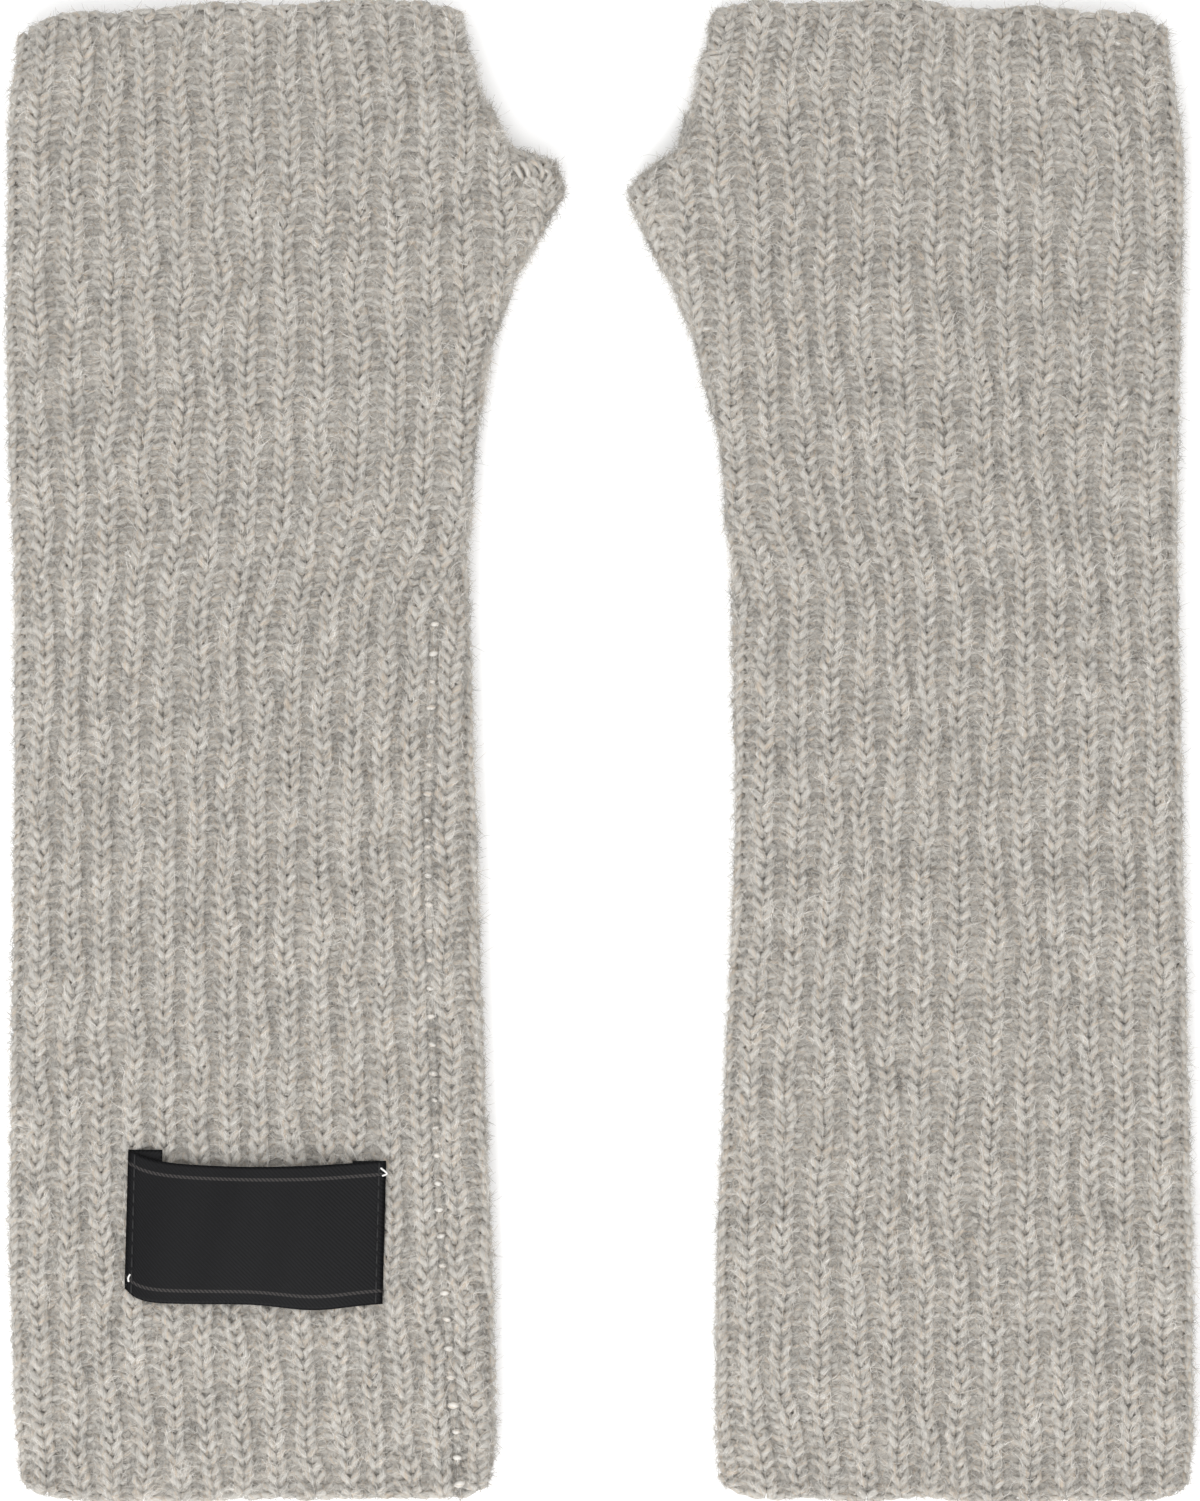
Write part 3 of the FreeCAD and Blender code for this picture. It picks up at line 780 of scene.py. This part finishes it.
def label_edges(box, share):
    """The label's top and bottom edge at a share of the way from its far end. They sag, and the far
    corners curl."""
    low, high = box[2] + LABEL_SHIFT, box[3] + LABEL_SHIFT
    top = high - TOP_SAG * np.sin(math.pi * share) + TOP_CURL * np.exp(-share / TOP_CURL_SHARE)
    belly = BELLY * np.exp(-(((share - BELLY_SHARE) / BELLY_WIDTH) ** 2))
    bottom = low + 0.5 + BOTTOM_CURL * np.exp(-share / BOTTOM_CURL_SHARE) - belly
    return top, bottom


def label_point(glove, share, level):
    """A point of the label's face. share runs from far end to near end, level from the bottom up."""
    near, far, _low, _high = glove.label_box
    top, bottom = label_edges(glove.label_box, share)
    y = bottom + (top - bottom) * level
    d = far + (near - far) * share + LABEL_LEAN * (1 - level)
    ends = np.sin(math.pi * np.clip(share, 0, 1)) ** 0.8
    ripple = 0.12 * np.sin(9 * share + 2.0 * level) + 0.08 * np.sin(23 * share - 3.0 * level)
    height = LABEL_BOW[glove.side] * ends * (0.75 + 0.35 * np.sin(math.pi * (0.15 + 0.7 * level)) + ripple)
    return d, y, height


def label_cloth(glove):
    """The label: one strip of satin with both ends turned under, bowed between its two rows of stitches."""
    rest = abs(glove.label_inner - MIDDLE) + 2 * LABEL_CLOTH
    near, far, low, high = glove.label_box
    length = far - near
    turn = LABEL_FOLD / length
    # along the strip: under at the far end, over the face, and under at the near end
    under_far = np.linspace(-turn, -0.012, 12)
    under_near = np.linspace(1.012, 1 + turn, 12)
    way = np.concatenate([under_far, np.linspace(0, 1, 96), under_near])
    way, level = np.meshgrid(way, np.linspace(0, 1, 44), indexing="ij")
    share = np.where(way < 0, -way, np.where(way > 1, 2 - way, way))
    under = (way < 0) | (way > 1)
    d, y, height = label_point(glove, share, level)
    flat_top, flat_bottom = label_edges(glove.label_box, np.round(share))
    y = np.where(under, flat_bottom + (flat_top - flat_bottom) * level - 0.1, y)
    height = np.where(under, -LABEL_CLOTH * 1.5, height)
    x, z = glove.world(d, rest + height)
    points = np.stack([x, y, z], -1).reshape(-1, 3)
    faces = grid_faces(*way.shape)
    if glove.side == "left":
        faces = faces[:, ::-1]
    maps = {
        "ClothUV": points_uv(way * length, level * (high - low), faces),
        "OFBake": points_uv((way + turn) / (1 + 2 * turn), level, faces),
    }
    made = make_mesh(f"{glove.side}_satin_label", points, faces, satin, maps)
    cloth = made.modifiers.new("cloth", "SOLIDIFY")
    cloth.thickness = LABEL_CLOTH * MM
    cloth.offset = 1.0
    return made, rest


def points_uv(u, v, faces):
    return np.stack([u.ravel(), v.ravel()], -1)[faces.ravel()]


def add_label_thread(glove, tubes, d, y, height):
    """A sewing thread on the label."""
    x, z = glove.world(d, height)
    outward = np.broadcast_to([0, 0, glove.up], (len(x), 3))
    tubes.add(np.stack([x, y, z], -1), outward, STITCH_RADIUS)


def label_seam(glove, share, rest):
    """One row of stitches across the label, each a short arch of thread."""
    tubes = Tubes()
    step = np.linspace(-1, 1, 9)
    for stitch in range(STITCH_COUNT):
        level = (stitch + 0.5) / STITCH_COUNT + 0.36 / STITCH_COUNT * step
        d, y, height = label_point(glove, np.full(9, share), level)
        add_label_thread(glove, tubes, d, y, rest + height + LABEL_CLOTH + 0.16 - 0.3 * step**4)
    return tubes


def label_tack(glove, places, rest):
    """The pale thread that shows at a corner of the label."""
    tubes = Tubes()
    at, (d, y) = smooth_line(places, 8)
    height = np.full(len(at), rest + LABEL_CLOTH + TACK_LIFT[glove.side])
    add_label_thread(glove, tubes, d, y + LABEL_SHIFT, height)
    return tubes


def satin_material():
    """Black satin tape with a fine twill and a plain woven border in its own colour."""
    nodes = Nodes("label_satin")
    cloth = nodes.uv_map("ClothUV")
    twill = nodes.add(
        "TexWave", {"Vector": cloth, "Scale": 0.7, "Distortion": 0.25, "Detail": 1.0},
        wave_type="BANDS", bands_direction="DIAGONAL",
    ).outputs["Fac"]
    place = nodes.add("SeparateXYZ", {"Vector": cloth})
    edge = nodes.maths("ABSOLUTE", nodes.maths("SUBTRACT", place.outputs["Y"], LABEL_HEIGHT / 2))
    line = nodes.maths("COMPARE", edge, BORDER_INSET, BORDER_HALF)
    thread = nodes.noise(cloth, 0.9, Detail=3.0)
    colour = nodes.ramp(twill, [(0.2, srgb(2, 2, 3)), (0.8, srgb(17, 17, 20))])
    soft = nodes.ramp(thread, [(0.35, srgb(225, 225, 225)), (0.65, srgb(255, 255, 255))])
    colour = nodes.mix(1.0, colour, soft, "MULTIPLY")
    woven = nodes.ramp(twill, [(0.3, srgb(26, 25, 26)), (0.7, srgb(60, 57, 56))])
    nodes.link(nodes.mix(line, colour, woven), "Base Color")
    nodes.link(nodes.spread(twill, 0.38, 0.55), "Roughness")
    nodes.bump(twill, 0.35, 0.00012)
    return nodes.finish({"Specular IOR Level": 0.12})


def thread_material(name, dark, pale):
    """Sewing thread: plies that wind along it."""
    nodes = Nodes(name)
    yarn = nodes.uv_map("YarnUV")
    plies = nodes.add(
        "TexWave", {"Vector": yarn, "Scale": 6.0, "Distortion": 1.5}, bands_direction="DIAGONAL"
    ).outputs["Fac"]
    nodes.link(nodes.ramp(plies, [(0.2, dark), (0.8, pale)]), "Base Color")
    nodes.bump(plies, 0.4, 0.0001)
    return nodes.finish({"Roughness": 0.6})


satin = satin_material()
dark_thread = thread_material("dark_thread", srgb(7, 7, 8), srgb(22, 22, 25))
light_thread = thread_material("light_thread", srgb(205, 202, 198), srgb(250, 249, 247))


# ---------------- loose fibres


FIBRES = 560000  # on one glove
FIBRE_STEPS = 4
FIBRE_LENGTH = 1.7
LENGTH_SPREAD = 0.38
FIBRE_RADIUS = 0.045
FIBRE_TIP = 0.4
FIBRE_RISE = 0.22  # how steeply a fibre leaves its yarn
FIBRE_AHEAD = 0.85  # how strongly it starts along the yarn
FIBRE_ROOT = 0.85  # how far out in the yarn it starts, as a share of the yarn's radius
FIBRE_SCATTER = 0.30
FIBRE_BEND = 0.6
FIBRE_RETURN = 1.7  # how strongly it bends back to the yarn
STRAY_SHARE = 0.008  # fibres that stand out further than the others
STRAY_RISE = 0.6
STRAY_LENGTH = 1.35
LOWEST_FIBRE = 0.06
FACES_DOWN = -0.5  # the outward direction's height below which a yarn lies on the underside
UNDERSIDE_SHARE = 0.45
TONE_SPREAD = 0.21
BLOT_TONE = 0.10  # how much paler and darker the patches of the marl are
RELIEF_SHADE_TONE = 0.07  # painted shade: how much paler the fibres on yarns that stand out are, and how much darker those on yarns sunk in the grooves


def loose_fibres(glove, tubes):
    """Curved fibres that lie along the outside of the yarns and stray off them, as lines of points."""
    rng = glove.rng
    strands = np.concatenate(tubes.strands)
    parts = np.split(strands, [3, 6, 9, 12, 13], axis=1)
    _path, _tangent, _side, top, _radius, lift = parts
    faces_down = top[:, 2] < FACES_DOWN
    weight = np.clip(lift[:, 0] + 1.8, 0.3, 2.2) * np.where(faces_down, UNDERSIDE_SHARE, 1.0)
    chosen = rng.choice(len(strands), FIBRES, p=weight / weight.sum())
    each = (FIBRES, 1)
    path, tangent, side, top, radius, lift = (part[chosen] for part in parts)
    angle = rng.uniform(math.radians(20), math.radians(160), each)
    out = np.cos(angle) * side + np.sin(angle) * top
    stray = rng.random(each) < STRAY_SHARE
    length = FIBRE_LENGTH * rng.lognormal(0, LENGTH_SPREAD, each) * np.where(stray, STRAY_LENGTH, 1.0)
    along = tangent * rng.choice([-1.0, 1.0], each)
    rise = np.where(stray, STRAY_RISE, FIBRE_RISE)
    start = FIBRE_AHEAD * along + rise * out + rng.normal(0, FIBRE_SCATTER, (FIBRES, 3))
    bend = rng.normal(0, FIBRE_BEND, (FIBRES, 3)) - np.where(stray, 0.5, 1.0) * rise * FIBRE_RETURN * out
    lines = np.empty((FIBRES, FIBRE_STEPS, 3))
    lines[:, 0] = path + FIBRE_ROOT * radius * out
    for step in range(1, FIBRE_STEPS):
        heading = start + bend * (step - 0.5) / (FIBRE_STEPS - 1)
        heading /= np.linalg.norm(heading, axis=1, keepdims=True)
        lines[:, step] = lines[:, step - 1] + heading * length / (FIBRE_STEPS - 1)
    lines[:, :, 2] = np.maximum(lines[:, :, 2], LOWEST_FIBRE)
    glove.keep_off_label(lines)
    blot = Waves(rng, 6, 22)(path[:, 0:1] * 1.6, path[:, 1:2] * 0.8)
    # painted shade: the tone of fibres on raised yarns is made paler, and on yarns sunk in the grooves
    # darker
    tone = 0.5 + rng.normal(0, TONE_SPREAD, each) + BLOT_TONE * blot + RELIEF_SHADE_TONE * (lift - 0.4)
    return lines, np.clip(tone, 0, 1)


def fuzz_material():
    """Loose fibres of the marl: each takes one of its greys, shifted paler on raised yarns and darker in the
    grooves as painted shade.
    """
    nodes = Nodes("loose_fibres")
    tone = nodes.add("Attribute", attribute_name="tone").outputs["Fac"]
    greys = [
        (0.0, srgb(108, 106, 103)),
        (0.3, srgb(160, 158, 154)),
        (0.55, srgb(190, 187, 181)),
        (1.0, srgb(236, 233, 228)),
    ]
    colour = nodes.ramp(tone, greys)
    pick = nodes.add("HairInfo").outputs["Random"]
    tan = nodes.spread(pick, 0.0, 0.7, start=0.78)
    nodes.link(nodes.mix(tan, colour, srgb(186, 165, 140)), "Base Color")
    return nodes.finish({"Roughness": 0.8, "Specular IOR Level": 0.2, "Sheen Weight": 0.2})


loose_wool = fuzz_material()


def show_fibres(piece, name):
    """Fine round hairs along the loose edges that a knitted piece carries, read from the piece's geometry.
    """
    tree = bpy.data.node_groups.new(name, "GeometryNodeTree")
    tree.interface.new_socket("Geometry", in_out="INPUT", socket_type="NodeSocketGeometry")
    tree.interface.new_socket("Geometry", in_out="OUTPUT", socket_type="NodeSocketGeometry")
    tree.is_modifier = True

    def add(kind, **inputs):
        return add_node(tree, "GeometryNode" + kind, inputs)

    carried = add("ObjectInfo", Object=piece).outputs["Geometry"]
    named = add_node(tree, "GeometryNodeInputNamedAttribute", {"Name": "fibre"}, data_type="BOOLEAN")
    edges = add("SeparateGeometry", Geometry=carried, Selection=named.outputs["Attribute"])
    curves = add("MeshToCurve", Mesh=edges.outputs["Selection"]).outputs["Curve"]
    thick, thin = FIBRE_RADIUS * MM, FIBRE_RADIUS * MM * FIBRE_TIP
    along = add("SplineParameter").outputs["Factor"]
    taper = add_node(tree, "ShaderNodeMapRange", {"Value": along, "To Min": thick, "To Max": thin})
    hairs = add("SetCurveRadius", Curve=curves, Radius=taper.outputs["Result"]).outputs["Curve"]
    shown = add("SetMaterial", Geometry=hairs, Material=loose_wool).outputs["Geometry"]
    tree.links.new(shown, tree.nodes.new("NodeGroupOutput").inputs[0])
    data = bpy.data.hair_curves.new(name)
    data.materials.append(loose_wool)
    new_object(name, data).modifiers.new("fibres", "NODES").node_group = tree


# ---------------- assembly


def bend_at_wrist(piece):
    """Bakes the piece's placement into its points."""
    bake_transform(piece)


def place_piece(piece, body, node):
    """The piece rides on a body and stands for one CAD node."""
    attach(piece, body)
    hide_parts(node)


def sew(glove, tubes, name, material, body, node):
    """Yarns or threads as one piece of a glove."""
    side = glove.side
    piece = tubes.build(f"{side}_{name}", material)
    place_piece(piece, f"{side}_{body}", f"{side}_{node}")
    return piece


def sew_label(glove):
    """The label and the threads that hold it."""
    side = glove.side
    cloth, rest = label_cloth(glove)
    near, far, low, high = glove.label_box
    inset = STITCH_INSET / (far - near)
    near_tack = ((near + 0.9, high - 1.5), (near - 0.4, high - 2.7), (near + 0.6, high - 3.2))
    far_tack = ((far - 0.2, low + 6.8), (far + 0.2, low + 6.0), (far + 0.1, low + 5.2))
    threads = (
        ("label_stitches_near", label_seam(glove, 1 - inset, rest), dark_thread, "dark_thread"),
        ("label_stitches_far", label_seam(glove, inset, rest), dark_thread, "dark_thread"),
        ("label_tack_near", label_tack(glove, near_tack, rest), light_thread, "light_thread"),
        ("label_tack_far", label_tack(glove, far_tack, rest), light_thread, "light_thread"),
    )
    place_piece(cloth, f"{side}_glove", f"{side}_label")
    sewn = [
        sew(glove, tubes, f"{node}_thread", material, "glove", node)
        for node, tubes, material, slot_name in threads
    ]


def sew_seams(glove, forearm, hand, fingers):
    """The closing seam in its three runs, its pale stitches, and the yarn ends at the thumb."""
    side = glove.side
    forearm_seam = sew(glove, forearm, "seam_yarn_forearm", wool, "glove", "forearm_seam")
    stitches = seam_tufts(glove, LOW_END + 3.0, WRIST - 12).build(f"{side}_seam_stitches", pale_wool)
    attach(stitches, f"{side}_glove")
    hand_seam = hand.build(f"{side}_seam_yarn_hand", wool)
    bend_at_wrist(hand_seam)
    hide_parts(f"{side}_hand_seam")
    finger_seam = sew(glove, fingers, "seam_yarn_fingers", wool, "hand", "finger_seam")
    low, high = thumb_ends(glove)
    low_ends = sew(glove, low, "thumb_yarn_low", wool, "hand", "thumb_tack_low")
    high_ends = sew(glove, high, "thumb_yarn_high", wool, "hand", "thumb_tack_high")
    return [forearm_seam, stitches, hand_seam, finger_seam, low_ends, high_ends]


for glove in (Glove("left", SEED), Glove("right", SEED + 1)):
    side = glove.side
    tubes = knit_glove(glove)
    selvedge(glove, tubes)
    seam_ends = ((LOW_END + 1.5, WRIST), (WRIST, SLIT_START - 1), (SLIT_END - 1, HIGH_END - 2.0))
    runs = [seam_run(glove, *ends) for ends in seam_ends]
    for run in runs:
        tubes.strands += run.strands  # the seam is felted in with the rest
    fibres = loose_fibres(glove, tubes)
    yarns = tubes.build(f"{side}_rib_knit", wool, fibres)
    if fibres is not None:
        show_fibres(yarns, f"{side}_loose_fibres")
    core, girth = inner_sheet(glove)
    bend_at_wrist(yarns)
    bend_at_wrist(core)
    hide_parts(f"{side}_forearm_sleeve", f"{side}_hand_sleeve")
    seams = sew_seams(glove, *runs)
    sew_label(glove)


# ---------------- studio


FLOOR_REACH = 60000.0
FLOOR_GAP = 0.0002
SCENE_MIDDLE = np.zeros(3)


def plain_material(name, colour):
    nodes = Nodes(name)
    place = nodes.add("TexCoord").outputs["Object"]
    grain = nodes.noise(place, 3.0)
    shade = nodes.ramp(grain, [(0.3, colour), (0.7, tuple(c * 0.995 for c in colour[:3]) + (1.0,))])
    nodes.link(shade, "Base Color")
    return nodes.finish({"Roughness": 0.9})


floor_points = FLOOR_REACH * np.array([[-1, -1, 0], [1, -1, 0], [1, 1, 0], [-1, 1, 0]], float)
paper = plain_material("table_paper", srgb(255, 255, 255))
floor = make_mesh("table", floor_points, np.array([[0, 1, 2, 3]]), paper)
floor.location.z = -FLOOR_GAP

FRAME_HEIGHT = 0.3227  # metres that the picture's height covers at the gloves' mid height
LENS = 120.0
SENSOR = 36.0
distance = FRAME_HEIGHT * LENS / SENSOR
camera_data = bpy.data.cameras.new("camera")
camera_data.lens = LENS
camera_data.sensor_width = SENSOR
camera = new_object("camera", camera_data)
camera.location = (0, 0, MIDDLE * MM + distance)
bpy.context.scene.camera = camera


def area_light(name, place, size, power):
    """A square light that points at the middle of the scene."""
    light = bpy.data.lights.new(name, "AREA")
    light.shape = "SQUARE"
    light.size = size
    light.energy = power
    made = new_object(name, light)
    made.location = place
    aim = SCENE_MIDDLE - np.array(place, float)
    pitch = math.acos(-aim[2] / np.linalg.norm(aim))
    made.rotation_euler = (pitch, 0, math.atan2(aim[0], -aim[1]) + math.pi)


area_light("overhead", (0, -0.25, 1.6), 1.6, 15.0)
area_light("key", (-0.4, -1.1, 1.05), 0.65, 10.4)
world = bpy.data.worlds.new("world")
world.use_nodes = True
background = world.node_tree.nodes["Background"]
background.inputs["Color"].default_value = (1, 1, 1, 1)
background.inputs["Strength"].default_value = 0.85
bpy.context.scene.world = world
bpy.context.scene.view_settings.view_transform = "Standard"
